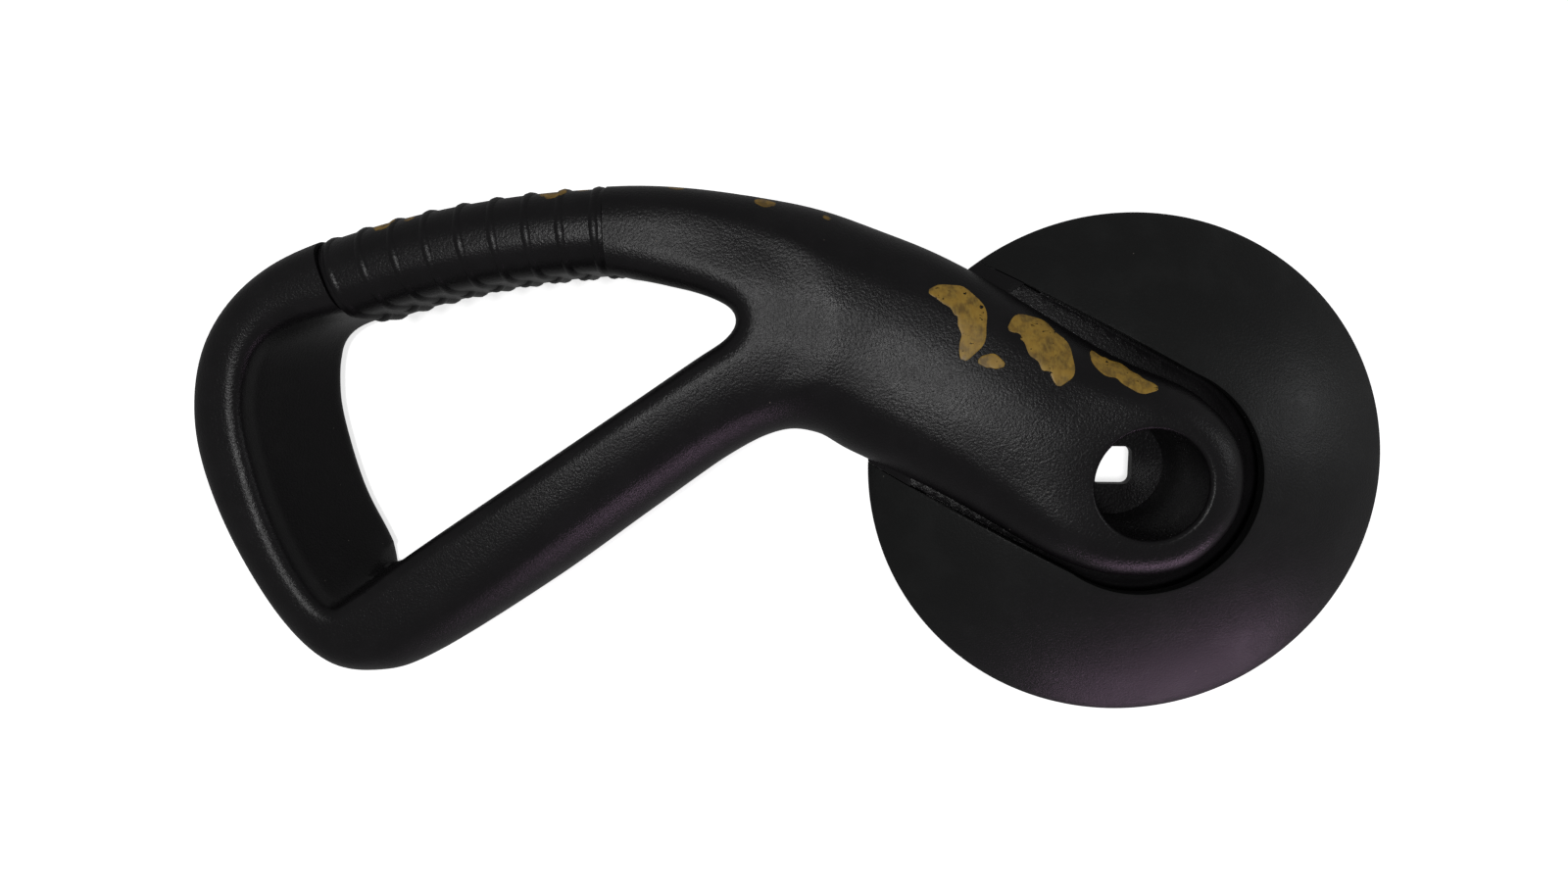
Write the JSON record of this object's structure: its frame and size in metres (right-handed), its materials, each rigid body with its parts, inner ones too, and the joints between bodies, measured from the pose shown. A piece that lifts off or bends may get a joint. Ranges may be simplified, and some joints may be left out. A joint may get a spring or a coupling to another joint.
{
  "type": "rope ascender",
  "caption": "Lever-operated rope ascender with a ribbed D-loop handle, a domed disc cover, an open eye and a toothed cam.",
  "frame": {"origin": "on the axis of the eye's bore, at the rear plane that the part lies on", "axes": "+Z along the bore to the front, -X along the handle, +Y towards the side of the ribbed grip"},
  "size_m": [0.2991, 0.1346, 0.044],
  "materials": {
    "moulded_black": "injection-moulded black with a fine spark-eroded grain",
    "grip_black": "satin black, ribbed",
    "cover_black": "injection-moulded black with a fine spark-eroded grain",
    "housing_black": "injection-moulded black",
    "ochre_paint": "worn hand-brushed enamel strokes",
    "cam_steel": "machined and hardened",
    "liner_steel": "brushed stainless",
    "pin_steel": "ground",
    "screw_steel": "zinc-plated",
    "spring_steel": "drawn wire and spring strip",
    "plate_steel": "brushed stainless sheet",
    "bush_bronze": "sintered bronze",
    "acetal": "natural acetal"
  },
  "bodies": {
    "housing": {"rear_housing": "housing_black", "channel_liner": "liner_steel", "liner_rivets": "pin_steel", "rear_bush": "bush_bronze", "thrust_washer": "acetal", "glide_ring": "acetal", "stop_pins": "pin_steel", "return_spring": "spring_steel", "roller_pins": "pin_steel", "roller_clips": "spring_steel", "plate_pivot_screw": "screw_steel", "plate_washer": "acetal"},
    "lever": {"handle": "moulded_black", "grip_sleeve": "grip_black", "front_cover": "cover_black", "cover_screws": "screw_steel", "cam": "cam_steel", "cam_dowels": "pin_steel", "retaining_ring": "spring_steel"},
    "swing_plate": {"side_plate": "plate_steel"},
    "left_roller": {"guide_roller_left": "acetal"},
    "right_roller": {"guide_roller_right": "acetal"}
  },
  "joints": [
    {"name": "lever_turn", "type": "hinge", "parent": "housing", "child": "lever", "pos_m": [0, 0, 0.006], "axis": [0, 0, 1], "range_deg": [-50, 0], "stiffness_Nm_per_rad": 0.35, "springref_deg": 20.05, "deforming": ["return_spring"]},
    {"name": "side_plate_swing", "type": "hinge", "parent": "housing", "child": "swing_plate", "pos_m": [0.046, -0.027, 0.0013], "axis": [0, 0, 1], "range_deg": [0, 80]},
    {"name": "left_roller_spin", "type": "hinge", "parent": "housing", "child": "left_roller", "pos_m": [-0.041, -0.0295, 0.0113], "axis": [0, 0, 1], "continuous": true},
    {"name": "right_roller_spin", "type": "hinge", "parent": "housing", "child": "right_roller", "pos_m": [0.041, -0.0295, 0.0113], "axis": [0, 0, 1], "continuous": true}
  ]
}
